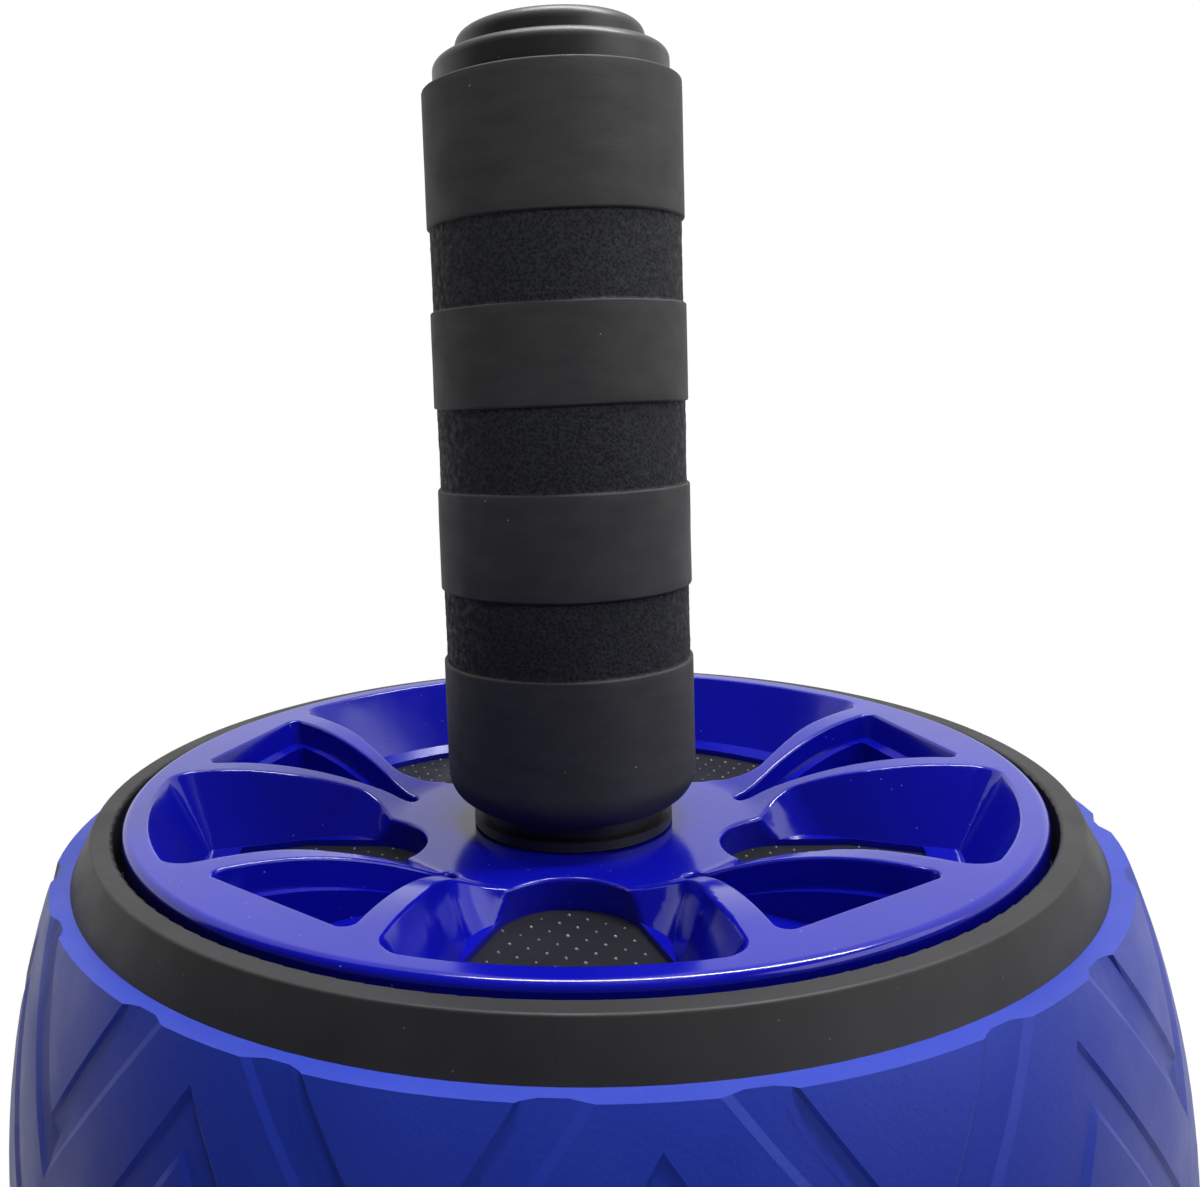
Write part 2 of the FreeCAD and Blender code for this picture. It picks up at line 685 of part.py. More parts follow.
def make_hub_cover(label, side):
    body = new_body(label)
    bore = size("cover_bore_radius")
    disc = revolve(body, "disc", [
        (bore, cover_foot), (cover_radius, cover_foot),
        (cover_radius, cover_face, size("cover_edge_round")), *dish_corners(ZERO), (bore, hub_face)])
    leaf_floor = cover_face - size("leaf_floor_sink")
    leaf_top = new_sketch(body, "leaf_mouth", "XY_Plane", cover_face)
    leaf_outline(leaf_top, "mouth")
    leaf_bottom = new_sketch(body, "leaf_floor", "XY_Plane", leaf_floor)
    leaf_outline(leaf_bottom, "floor")
    well = new_sketch(body, "leaf_well", "XY_Plane", leaf_floor)
    well_end = plan("leaf_well_end")
    well_half = plan("leaf_well_half_width")
    well_tip = plan("leaf_well_tip")
    well_stem = plan("leaf_well_stem")
    outline(well, [(well_tip, -well_stem), (well_end, -well_half, size("leaf_floor_round")),
                   (well_end, well_half, size("leaf_floor_round")), (well_tip, well_stem)])
    half_step = f"180 / {size('window_count').text}"
    for sketch in (leaf_top, leaf_bottom, well):
        sketch.setExpression("AttachmentOffset.Rotation.Angle", half_step)
    leaf = body.newObject("PartDesign::SubtractiveLoft", f"{label}_leaf")
    leaf.Profile = leaf_top
    leaf.Sections = [leaf_bottom]
    leaf.Ruled = True
    repeat(body, "leaves", [leaf], size("window_count"))
    sink = size("leaf_ledge_sink")
    ledge_edge = plan("mouth_end")
    revolve(body, "leaf_ledge", [
        (bore, cover_foot), (ledge_edge, cover_foot), (ledge_edge, cover_face - sink),
        *dish_corners(sink), (bore, hub_face - sink)])
    pit = cut_up(body, "leaf_pit", well, size("cover_depth"))
    pits = repeat(body, "leaf_pits", [pit], size("window_count"))
    soften(body, "leaf_edges", disc, pits, size("leaf_edge_round"))
    mouth = new_sketch(body, "window_mouth", "XY_Plane", cover_face)
    window_outline(mouth, "mouth")
    floor = new_sketch(body, "window_floor", "XY_Plane", window_floor)
    window_outline(floor, "floor")
    window = body.newObject("PartDesign::SubtractiveLoft", f"{label}_window")
    window.Profile = mouth
    window.Sections = [floor]
    window.Ruled = True
    slot = new_sketch(body, "slot_opening", "XY_Plane", cover_foot - size("overrun"))
    slot_outline(slot)
    opening = cut_up(body, "slot", slot, size("cover_depth") + TWO * size("overrun"))
    cut = repeat(body, "windows", [window, opening], size("window_count"))
    lobes = soften_lobes(body, cut)
    soften(body, "window_edges", disc, lobes, size("window_edge_round"))
    body.Placement = placed(side)
    return body


def sharp(shape, edge, middle):
    """Whether the two faces at an edge's middle turn sharply into each other."""
    faces = shape.ancestorsOfType(edge, Part.Face)
    normals = [face.normalAt(*face.Surface.parameter(middle)) for face in faces]
    return len(normals) == 2 and normals[0].getAngle(normals[1]) > SMOOTH_TURN


def round_edges(body, name, cut, names, radius):
    rounded = body.newObject("PartDesign::Fillet", f"{body.Name}_{name}")
    rounded.Base = (cut, names)
    rounded.setExpression("Radius", radius.text)
    body.Tip = rounded
    return rounded


def soften_lobes(body, cut):
    """Rounds the upright edges where the notch in the hub leaves a window's wall."""
    doc.recompute()
    names = []
    for index, edge in enumerate(cut.Shape.Edges, start=1):
        low = edge.valueAt(edge.FirstParameter)
        high = edge.valueAt(edge.LastParameter)
        middle = edge.valueAt((edge.FirstParameter + edge.LastParameter) / 2)
        upright = abs(high.z - low.z) > math.hypot(high.x - low.x, high.y - low.y)
        standing = abs(min(low.z, high.z) - window_floor.value) < NEAR
        inside = math.hypot(middle.x, middle.y) < plan("slot_flare").value
        if upright and standing and inside and sharp(cut.Shape, edge, middle):
            names.append(f"Edge{index}")
    return round_edges(body, "lobes", cut, names, size("slot_lobe_round"))


def soften(body, name, disc, cut, radius):
    """Rounds the sharp edges where windows or leaf pockets break through the cover's top."""
    doc.recompute()
    skin = disc.Shape.Shells[0]
    bore = size("cover_bore_radius").value
    names = []
    for index, edge in enumerate(cut.Shape.Edges, start=1):
        middle = edge.valueAt((edge.FirstParameter + edge.LastParameter) / 2)
        if middle.z < hub_face.value - NEAR or math.hypot(middle.x, middle.y) < bore + NEAR:
            continue
        if skin.distToShape(Part.Vertex(middle))[0] < NEAR and sharp(cut.Shape, edge, middle):
            names.append(f"Edge{index}")
    return round_edges(body, name, cut, names, radius)


def make_cover_backing(label, side):
    return turned_piece(label, side, [
        (size("backing_bore_radius"), web_face), (cover_radius - size("backing_inset"), web_face),
        (cover_radius - size("backing_inset"), backing_face), (size("backing_bore_radius"), backing_face)])


def make_bush(label, side):
    bore = size("journal_radius") + size("running_clearance")
    foot = web_face - size("bush_length")
    return turned_piece(label, side, [
        (bore, foot), (size("bush_radius"), foot), (size("bush_radius"), web_face),
        (size("bush_flange_radius"), web_face), (size("bush_flange_radius"), flange_face),
        (bore, flange_face)])


def make_thrust_washer(label, side):
    return turned_piece(label, side, [
        (size("thrust_washer_bore"), washer_face), (size("bush_flange_radius"), washer_face),
        (size("bush_flange_radius"), journal_end), (size("thrust_washer_bore"), journal_end)])


def make_axle():
    """Thick journal in the wheel, thinner stems in the handles, threaded ends with a chamfer."""
    thread_start = nut_pocket_floor
    tip = thread_start + size("thread_length")
    bevel = size("axle_chamfer")
    thread = size("thread_radius")
    stem = size("axle_radius")
    journal = size("journal_radius")
    half = [(journal, journal_end), (stem, journal_end), (stem, thread_start), (thread, thread_start),
            (thread, tip - bevel), (thread - bevel, tip), (ZERO, tip)]
    other = [(radius, -height) for radius, height in reversed(half)]
    return turned_piece("axle", 1, other + half)


def make_handle_core(label, side):
    bore = size("axle_radius") + size("running_clearance")
    spigot = size("bush_flange_radius")
    collar = size("collar_radius")
    core = size("core_radius")
    pocket = size("nut_pocket_radius")
    return turned_piece(label, side, [
        (bore, journal_end), (spigot, journal_end), (spigot, collar_face), (collar, collar_face),
        (collar, neck_start), (core, neck_start), (core, core_end), (pocket, core_end),
        (pocket, nut_pocket_floor), (bore, nut_pocket_floor)])


def make_foam_grip(label, side):
    """Sleeve with raised bands, the sunk ones between them, and a rounded foot."""
    bore = size("core_radius") + size("grip_clearance")
    high = size("grip_radius")
    low = high - size("grip_sunk_depth")
    rounding = size("grip_band_round")
    height = grip_start
    corners = [(bore, height), (high, height, size("grip_foot_round"))]
    for index, band in enumerate(grip_bands[:-1]):
        height = height + band
        raised = (high, height, rounding)
        corners += [raised, (low, height)] if index % 2 == 0 else [(low, height), raised]
    corners += [(high, core_end, rounding), (bore, core_end)]
    return turned_piece(label, side, corners)


def make_end_cap(label, side):
    flange = size("cap_flange_radius")
    top = size("cap_top_radius")
    spigot = size("nut_pocket_radius") - size("seat_clearance")
    hollow = spigot - size("cap_spigot_wall")
    foot = core_end - size("cap_spigot_length")
    return turned_piece(label, side, [
        (ZERO, core_end), (hollow, core_end), (hollow, foot), (spigot, foot), (spigot, core_end),
        (flange, core_end), (flange, cap_step, size("cap_flange_round")), (top, cap_step),
        (top, cap_end, size("cap_top_round")), (ZERO, cap_end)])


def make_nut_washer(label, side):
    return turned_piece(label, side, [
        (size("nut_washer_bore"), nut_pocket_floor), (size("nut_washer_radius"), nut_pocket_floor),
        (size("nut_washer_radius"), washer_top), (size("nut_washer_bore"), washer_top)])


def make_lock_nut(label, side):
    """A hexagon with a threaded hole, drawn as a plain hole that clears the thread."""
    hexagon = doc.addObject("Part::Prism", f"{label}_hexagon")
    hexagon.Polygon = 6
    hexagon.setExpression("Circumradius", f"{size('nut_across_flats').text} / 2 / cos(30)")
    hexagon.setExpression("Height", size("nut_height").text)
    hexagon.setExpression("Placement.Base.z", washer_top.text)
    hole = doc.addObject("Part::Cylinder", f"{label}_hole")
    hole.setExpression("Radius", (size("thread_radius") + size("running_clearance")).text)
    hole.setExpression("Height", (size("nut_height") + TWO * size("overrun")).text)
    hole.setExpression("Placement.Base.z", (washer_top - size("overrun")).text)
    nut = doc.addObject("Part::Cut", label)
    nut.Label = label
    nut.Base = hexagon
    nut.Tool = hole
    nut.Placement = placed(side)
    return nut


nodes = [make_axle(), make_tread(), make_core_screws()]
snug = size("screw_radius") + size("running_clearance")
loose = size("screw_radius") + size("screw_clearance")
nodes.append(make_wheel_core("wheel_core_left", 1, loose, True))
nodes.append(make_wheel_core("wheel_core_right", -1, snug, False))
for make, stem in (
        (make_edge_ring, "edge_ring"), (make_hub_cover, "hub_cover"), (make_cover_backing, "cover_backing"),
        (make_bush, "bush"), (make_thrust_washer, "thrust_washer"), (make_handle_core, "handle_core"),
        (make_foam_grip, "foam_grip"), (make_end_cap, "end_cap"), (make_nut_washer, "nut_washer"),
        (make_lock_nut, "lock_nut")):
    for hand, side in (("left", 1), ("right", -1)):
        nodes.append(make(f"{stem}_{hand}", side))
doc.recompute()

for item in doc.Objects:
    if "Invalid" in item.State or "Error" in item.State:
        raise RuntimeError(f"{item.Name} failed: {item.State}")
for node in nodes:
    if node.Shape.isNull() or not node.Shape.isValid():
        raise RuntimeError(f"{node.Label} has no valid shape")

os.makedirs("parts", exist_ok=True)
for node in nodes:
    node.Shape.exportStep(f"parts/{node.Label}.step")
    print(f"{node.Label}: {len(node.Shape.Solids)} solid, {node.Shape.Volume:.0f} mm3")
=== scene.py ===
import math

import bmesh
import bpy
from mathutils import Matrix, Vector, noise


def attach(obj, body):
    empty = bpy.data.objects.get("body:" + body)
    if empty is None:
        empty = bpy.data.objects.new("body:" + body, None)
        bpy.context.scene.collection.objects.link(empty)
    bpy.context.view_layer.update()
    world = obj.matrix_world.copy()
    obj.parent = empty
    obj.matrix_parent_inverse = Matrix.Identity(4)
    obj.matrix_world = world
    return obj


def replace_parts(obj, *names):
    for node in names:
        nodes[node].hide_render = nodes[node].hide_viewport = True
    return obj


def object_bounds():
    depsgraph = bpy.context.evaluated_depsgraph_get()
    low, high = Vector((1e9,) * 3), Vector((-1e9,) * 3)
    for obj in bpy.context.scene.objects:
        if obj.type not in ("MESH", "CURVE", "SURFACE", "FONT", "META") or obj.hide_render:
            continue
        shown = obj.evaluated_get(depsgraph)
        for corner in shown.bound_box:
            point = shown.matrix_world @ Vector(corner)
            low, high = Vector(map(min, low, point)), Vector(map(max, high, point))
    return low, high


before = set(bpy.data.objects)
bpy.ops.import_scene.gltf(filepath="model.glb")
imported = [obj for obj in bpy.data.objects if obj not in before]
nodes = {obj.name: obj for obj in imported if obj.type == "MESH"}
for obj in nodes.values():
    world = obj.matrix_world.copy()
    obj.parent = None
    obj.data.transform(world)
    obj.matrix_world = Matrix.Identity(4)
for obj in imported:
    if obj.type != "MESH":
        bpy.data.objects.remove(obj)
cad_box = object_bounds()
SIDES = (("left", 1), ("right", -1))

# Lengths are in metres. Heights run along the axle from the wheel's middle, outwards.
MM = 0.001

# Foam grip: raised smooth bands and sunk rough ones, from the rounded foot to the end cap
GRIP_BORE = 13.95 * MM
GRIP_RADIUS = 18.9 * MM
GRIP_SUNK_RADIUS = 18.45 * MM
GRIP_FOOT_ROUND = 5.2 * MM
GRIP_EDGE_ROUND = 0.35 * MM
GRIP_START = 44.2 * MM
GRIP_END = 150.0 * MM
SUNK_BANDS = ((66.4 * MM, 77.4 * MM), (92.4 * MM, 104.4 * MM), (118.5 * MM, 130.5 * MM))
GRIP_SEGMENTS = 320
FOOT_STEPS = 14
EDGE_STEPS = 5
BAND_STEP = 1.1 * MM
FOAM_STEP = 0.36 * MM

# How uneven the grip is: an amount and the scale of its noise. The offset sets the two grips apart.
BAND_UNEVEN, BAND_UNEVEN_SCALE = 0.10 * MM, 130.0
FOAM_COARSE, FOAM_COARSE_SCALE = 0.05 * MM, 900.0
FOAM_FINE, FOAM_FINE_SCALE = 0.05 * MM, 2100.0
EDGE_WAVE, EDGE_WAVE_SCALE = 0.12 * MM, 1.7
EDGE_WAVE_DRIFT = 60.0
HAND_OFFSET = 3.0

# The hub cover's rim, turned in finer steps than the CAD mesh has
RIM_RADIUS = 67.0 * MM
RIM_ROUND = 1.2 * MM
RIM_FACE = 48.0 * MM
RIM_SEGMENTS = 720
RIM_ROWS = 12

# How a copy of a CAD node's surface is read: joined points, level and upright faces, sharp edges
SEAM_WIDTH = 0.0005 * MM
SLACK = 0.02 * MM
LEVEL_SLACK = 0.002 * MM
UPRIGHT_FACING = 0.5
SHARP_TURN = math.radians(40.0)

# The tread's crowned face, and how far its moulded grooves show
CROWN_RADIUS = 84.5 * MM
CROWN_DROP = 7.7 * MM
GROOVE_DEPTH = 0.9 * MM
GROOVE_SHOWN = 0.45
GROOVE_EDGE_SOFTNESS = 0.5
GROOVE_FLAT_SHARE = 0.25
OUTWARD_FACING = 0.75

# Backing plate and the openings of the cover in front of it
WINDOW_COUNT = 5
BACKING_FACE = 36.0 * MM
SLOT_HALF_WIDTH = 12.9 * MM
SLOT_NOTCH_RADIUS = 10.0 * MM
SLOT_NOTCH_CENTRE = 33.3 * MM
SLOT_FLARE_END = 40.0 * MM
SLOT_END = 52.0 * MM
PIP_PITCH = 2.75 * MM
PIP_TURN = math.radians(-27.1)
PIP_ANCHOR = (33.9 * MM, -1.5 * MM, 0.0)
PIP_RADIUS = 0.27 * MM
PIP_MARGIN = 0.6 * MM
PIP_SMALLEST = 0.65
PIP_LARGEST = 1.1
PIP_SEGMENTS = 8
PIP_RINGS = 5
PIP_SEED = 0

# Finishes: the middle of a noise, the share of cells without a speck,
# and the colour sockets of a Mix node
NOISE_LOW, NOISE_HIGH = 0.3, 0.7
SPECK_FREE_SHARE = 0.82
MIX_FACTOR, MIX_FIRST, MIX_SECOND, MIX_RESULT = 0, 6, 7, 2

# White floor: half its width, its glow, and how much of the glow is seen
FLOOR_REACH = 4.0
FLOOR_GLOW = 1.06
FLOOR_GLOW_SEEN = 0.92

# The room's own light, and the point near the cover that a light faces
ROOM_LIGHT = 0.045
WHEEL_FACE = (0.0, 0.06, 0.0)


# Small helpers for node trees
def new_material(name):
    """A new material, with its node tree and its shader."""
    material = bpy.data.materials.new(name)
    material.use_nodes = True
    tree = material.node_tree
    shader = tree.nodes["Principled BSDF"]
    return material, tree, shader


def feed(tree, socket, value):
    """Puts a plain value, or another node's output, on an input."""
    if hasattr(value, "is_output"):
        tree.links.new(value, socket)
    else:
        socket.default_value = value


def add_node(tree, kind, settings=None, **inputs):
    """A node with its settings and its named inputs."""
    node = tree.nodes.new(kind)
    for key, value in (settings or {}).items():
        setattr(node, key, value)
    for key, value in inputs.items():
        feed(tree, node.inputs[key.replace("_", " ")], value)
    return node


def maths(tree, operation, *values):
    """The result of one sum."""
    node = add_node(tree, "ShaderNodeMath", {"operation": operation})
    for socket, value in zip(node.inputs, values):
        feed(tree, socket, value)
    return node.outputs[0]


def hypotenuse(tree, first, second):
    squares = [maths(tree, "MULTIPLY", value, value) for value in (first, second)]
    return maths(tree, "SQRT", maths(tree, "ADD", *squares))


def object_coordinates(tree, stretch=(1.0, 1.0, 1.0)):
    source = add_node(tree, "ShaderNodeTexCoord")
    mapping = add_node(tree, "ShaderNodeMapping", Vector=source.outputs["Object"], Scale=stretch)
    return mapping.outputs["Vector"]


def noise_value(tree, where, scale, detail=4.0, roughness=0.55):
    node = add_node(tree, "ShaderNodeTexNoise", Vector=where, Scale=scale,
                    Detail=detail, Roughness=roughness)
    return node.outputs["Fac"]


def ramp(tree, value, stops):
    """A colour ramp through stops of (place, colour)."""
    node = add_node(tree, "ShaderNodeValToRGB", Fac=value)
    bar = node.color_ramp
    while len(bar.elements) < len(stops):
        bar.elements.new(0.5)
    for element, (place, colour) in zip(bar.elements, stops):
        element.position = place
        element.color = (*colour, 1.0)
    return node.outputs["Color"]


def uneven_gloss(tree, shader, cloud, low, high):
    """Roughness that wanders between two values with a noise."""
    spread = add_node(tree, "ShaderNodeMapRange", Value=cloud, From_Min=NOISE_LOW,
                      From_Max=NOISE_HIGH, To_Min=low, To_Max=high)
    tree.links.new(spread.outputs["Result"], shader.inputs["Roughness"])


def two_shades(tree, cloud, dark, pale):
    """A colour that wanders between two shades with a noise."""
    return ramp(tree, cloud, ((NOISE_LOW, dark), (NOISE_HIGH, pale)))


def flecked_colour(tree, shader, flecks, colour, fleck_colour):
    """Base colour, with another colour on its flecks."""
    mix = add_node(tree, "ShaderNodeMix", {"data_type": "RGBA"})
    for index, value in ((MIX_FACTOR, flecks), (MIX_FIRST, colour), (MIX_SECOND, fleck_colour)):
        feed(tree, mix.inputs[index], value)
    tree.links.new(mix.outputs[MIX_RESULT], shader.inputs["Base Color"])


def bump(tree, shader, height, strength, distance, before=None):
    """Small relief on a shader, on top of an earlier bump where there is one."""
    node = add_node(tree, "ShaderNodeBump", Height=height, Strength=strength, Distance=distance)
    if before is not None:
        tree.links.new(before, node.inputs["Normal"])
    tree.links.new(node.outputs["Normal"], shader.inputs["Normal"])
    return node.outputs["Normal"]


def specks(tree, where, scale, size):
    """Small scattered dots: 1 on a dot, 0 elsewhere."""
    cells = add_node(tree, "ShaderNodeTexVoronoi", Vector=where, Scale=scale)
    chance = add_node(tree, "ShaderNodeSeparateColor", Color=cells.outputs["Color"])
    dot = maths(tree, "LESS_THAN", cells.outputs["Distance"], size)
    rare = maths(tree, "GREATER_THAN", chance.outputs["Red"], SPECK_FREE_SHARE)
    return maths(tree, "MULTIPLY", dot, rare)


# Finishes
def cover_gloss_blue():
    """Glossy moulded blue plastic with a faint ripple and a little dust."""
    material, tree, shader = new_material("cover_gloss_blue")
    where = object_coordinates(tree)
    cloud = noise_value(tree, where, 38.0)
    colour = two_shades(tree, cloud, (0.0020, 0.0026, 0.215), (0.0026, 0.0034, 0.255))
    dust = specks(tree, where, 700.0, 0.07)
    flecked_colour(tree, shader, dust, colour, (0.10, 0.11, 0.56, 1.0))
    uneven_gloss(tree, shader, noise_value(tree, where, 160.0), 0.12, 0.18)
    shader.inputs["IOR"].default_value = 1.5
    bump(tree, shader, noise_value(tree, where, 70.0, 2.0), 0.05, 0.4 * MM)
    return material


def tread_satin_blue():
    """Satin blue rubber: fine moulded grain, faint scuffs along the rolling direction."""
    material, tree, shader = new_material("tread_satin_blue")
    where = object_coordinates(tree)
    along = object_coordinates(tree, (1.0, 6.0, 1.0))
    cloud = noise_value(tree, where, 26.0)
    colour = two_shades(tree, cloud, (0.0072, 0.022, 0.250), (0.0108, 0.029, 0.302))
    scuff = noise_value(tree, along, 55.0, 6.0, 0.7)
    scuffs = ramp(tree, scuff, ((0.62, (0.0, 0.0, 0.0)), (0.80, (0.22, 0.22, 0.22))))
    flecked_colour(tree, shader, scuffs, colour, (0.05, 0.08, 0.38, 1.0))
    uneven_gloss(tree, shader, noise_value(tree, where, 90.0), 0.42, 0.56)
    grain = noise_value(tree, where, 1500.0, 3.0)
    bump(tree, shader, grain, 0.22, 0.12 * MM)
    return material


def ring_charcoal():
    """Satin charcoal plastic with a fine moulded grain and a little dust."""
    material, tree, shader = new_material("ring_charcoal")
    where = object_coordinates(tree)
    cloud = noise_value(tree, where, 60.0, 5.0)
    colour = two_shades(tree, cloud, (0.0108, 0.0108, 0.0120), (0.0166, 0.0166, 0.0178))
    dust = specks(tree, where, 800.0, 0.08)
    flecked_colour(tree, shader, dust, colour, (0.07, 0.07, 0.07, 1.0))
    uneven_gloss(tree, shader, noise_value(tree, where, 130.0), 0.48, 0.60)
    shader.inputs["Specular IOR Level"].default_value = 0.35
    bump(tree, shader, noise_value(tree, where, 1100.0, 3.0), 0.14, 0.08 * MM)
    return material


def handle_black():
    """Black satin plastic of the handle tube and the end cap."""
    material, tree, shader = new_material("handle_black")
    where = object_coordinates(tree)
    cloud = noise_value(tree, where, 75.0, 5.0)
    colour = two_shades(tree, cloud, (0.0095, 0.0095, 0.0100), (0.0155, 0.0155, 0.0162))
    dust = specks(tree, where, 800.0, 0.08)
    flecked_colour(tree, shader, dust, colour, (0.06, 0.06, 0.06, 1.0))
    uneven_gloss(tree, shader, noise_value(tree, where, 140.0), 0.36, 0.50)
    bump(tree, shader, noise_value(tree, where, 1300.0, 3.0), 0.16, 0.08 * MM)
    return material


def grip_skin():
    """Smooth charcoal skin of the raised bands: grain drawn out round the grip, pale specks."""
    material, tree, shader = new_material("grip_skin")
    where = object_coordinates(tree)
    drawn = object_coordinates(tree, (1.0, 3.5, 1.0))
    cloud = noise_value(tree, drawn, 110.0, 6.0, 0.65)
    colour = two_shades(tree, cloud, (0.026, 0.026, 0.027), (0.036, 0.036, 0.037))
    dust = specks(tree, where, 300.0, 0.035)
    flecked_colour(tree, shader, dust, colour, (0.22, 0.22, 0.22, 1.0))
    uneven_gloss(tree, shader, noise_value(tree, where, 200.0), 0.62, 0.76)
    shader.inputs["Specular IOR Level"].default_value = 0.35
    bump(tree, shader, noise_value(tree, drawn, 900.0, 4.0), 0.20, 0.10 * MM)
    return material


def grip_foam():
    """Rough black foam of the sunk bands: open cells, darker in their hollows as painted shade, and
    rare glints.
    """
    material, tree, shader = new_material("grip_foam")
    where = object_coordinates(tree)
    cells = add_node(tree, "ShaderNodeTexVoronoi", Vector=where, Scale=2200.0)
    # colour darkens towards each cell's middle, where the bump sinks: painted shade in the cell
    # hollows
    stops = ((0.1, (0.0062, 0.0065, 0.0080)), (0.7, (0.0225, 0.0234, 0.0265)))
    colour = ramp(tree, cells.outputs["Distance"], stops)
    glints = specks(tree, where, 1500.0, 0.12)
    flecked_colour(tree, shader, glints, colour, (0.07, 0.075, 0.08, 1.0))
    uneven_gloss(tree, shader, noise_value(tree, where, 900.0), 0.55, 0.95)
    shader.inputs["Specular IOR Level"].default_value = 0.2
    first = bump(tree, shader, cells.outputs["Distance"], 0.4, 0.12 * MM)
    bump(tree, shader, noise_value(tree, where, 900.0, 5.0, 0.7), 0.4, 0.15 * MM, first)
    return material


def backing_grey():
    """Dark grey moulded plate behind the windows."""
    material, tree, shader = new_material("backing_grey")
    where = object_coordinates(tree)
    cloud = noise_value(tree, where, 90.0, 5.0)
    colour = two_shades(tree, cloud, (0.0032, 0.0034, 0.0064), (0.0054, 0.0058, 0.0100))
    tree.links.new(colour, shader.inputs["Base Color"])
    uneven_gloss(tree, shader, noise_value(tree, where, 220.0), 0.58, 0.74)
    shader.inputs["Specular IOR Level"].default_value = 0.2
    bump(tree, shader, noise_value(tree, where, 1400.0, 3.0), 0.25, 0.1 * MM)
    return material


def pip_painted_highlight():
    """Pale pips: their pale colour is painted highlight, standing in for the light caught on their
    tops.
    """
    material, tree, shader = new_material("pip_painted_highlight")
    where = object_coordinates(tree)
    cloud = noise_value(tree, where, 420.0, 3.0)
    # pale colour over the whole pip, far above the backing's: painted highlight
    colour = two_shades(tree, cloud, (0.05, 0.05, 0.055), (0.15, 0.15, 0.155))
    tree.links.new(colour, shader.inputs["Base Color"])
    uneven_gloss(tree, shader, noise_value(tree, where, 600.0), 0.30, 0.50)
    return material


def zinc_steel():
    """Bright zinc plated steel of the axle, nuts, washers and screws, with turning marks."""
    material, tree, shader = new_material("zinc_steel")
    marks = object_coordinates(tree, (1.0, 14.0, 1.0))
    where = object_coordinates(tree)
    cloud = noise_value(tree, where, 120.0, 5.0)
    colour = two_shades(tree, cloud, (0.50, 0.51, 0.53), (0.62, 0.63, 0.64))
    tree.links.new(colour, shader.inputs["Base Color"])
    shader.inputs["Metallic"].default_value = 1.0
    uneven_gloss(tree, shader, noise_value(tree, marks, 160.0, 5.0), 0.24, 0.42)
    bump(tree, shader, noise_value(tree, marks, 240.0, 4.0), 0.10, 0.05 * MM)
    return material


def core_black():
    """Plain moulded plastic of the drum halves, hidden in the wheel."""
    material, tree, shader = new_material("core_black")
    where = object_coordinates(tree)
    cloud = noise_value(tree, where, 50.0, 5.0)
    colour = two_shades(tree, cloud, (0.014, 0.014, 0.016), (0.024, 0.024, 0.027))
    tree.links.new(colour, shader.inputs["Base Color"])
    uneven_gloss(tree, shader, noise_value(tree, where, 150.0), 0.45, 0.62)
    bump(tree, shader, noise_value(tree, where, 900.0, 3.0), 0.18, 0.1 * MM)
    return material


def bush_nylon():
    """Pale nylon of the plain bushes."""
    material, tree, shader = new_material("bush_nylon")
    where = object_coordinates(tree)
    cloud = noise_value(tree, where, 140.0, 4.0)
    colour = two_shades(tree, cloud, (0.66, 0.64, 0.58), (0.76, 0.74, 0.69))
    tree.links.new(colour, shader.inputs["Base Color"])
    uneven_gloss(tree, shader, noise_value(tree, where, 260.0), 0.38, 0.52)
    bump(tree, shader, noise_value(tree, where, 1200.0, 3.0), 0.10, 0.06 * MM)
    return material


# Pieces
def onto_axle(mesh, side):
    """Moves a mesh drawn about its own Z axis onto the axle, outwards on its side, X axis up."""
    turn = Matrix(((0, side, 0), (0, 0, side), (1, 0, 0))).to_4x4()
    mesh.transform(turn)


def new_piece(name, mesh, body):
    """Puts a mesh in the scene as a piece that rides on a body."""
    piece = bpy.data.objects.new(name, mesh)
    bpy.context.scene.collection.objects.link(piece)
    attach(piece, body)
    return piece


def spaced(start, end, step):
    """Even steps from start up to end, without end itself."""
    count = max(1, round((end - start) / step))
    return [start + (end - start) * index / count for index in range(count)]


def grip_profile():
    """Points (radius, height, rough) up the grip's outside: rough is 1 on the sunk foam."""
    points = []
    quarter = math.pi / 2
    for angle in spaced(0.0, quarter, quarter / FOOT_STEPS):
        radius = GRIP_RADIUS - GRIP_FOOT_ROUND * (1 - math.sin(angle))
        points.append((radius, GRIP_START + GRIP_FOOT_ROUND * (1 - math.cos(angle)), 0))
    height = GRIP_START + GRIP_FOOT_ROUND
    edge = GRIP_EDGE_ROUND
    for low, high in SUNK_BANDS + ((GRIP_END, GRIP_END),):
        points += [(GRIP_RADIUS, level, 0) for level in spaced(height, low - edge, BAND_STEP)]
        for angle in spaced(0.0, quarter, quarter / EDGE_STEPS):
            radius = GRIP_RADIUS - edge * (1 - math.cos(angle))
            points.append((radius, low - edge * (1 - math.sin(angle)), 0))
        if low == high:
            points.append((GRIP_RADIUS - edge, GRIP_END, 0))
            break
        points.append((GRIP_RADIUS - edge, low, 0))
        points += [(GRIP_SUNK_RADIUS, level, 1) for level in spaced(low, high, FOAM_STEP)]
        points.append((GRIP_SUNK_RADIUS, high, 1))
        for angle in spaced(0.0, quarter, quarter / EDGE_STEPS):
            radius = GRIP_RADIUS - edge * (1 - math.sin(angle))
            points.append((radius, high + edge * (1 - math.cos(angle)), 0))
        height = high + edge
    return points


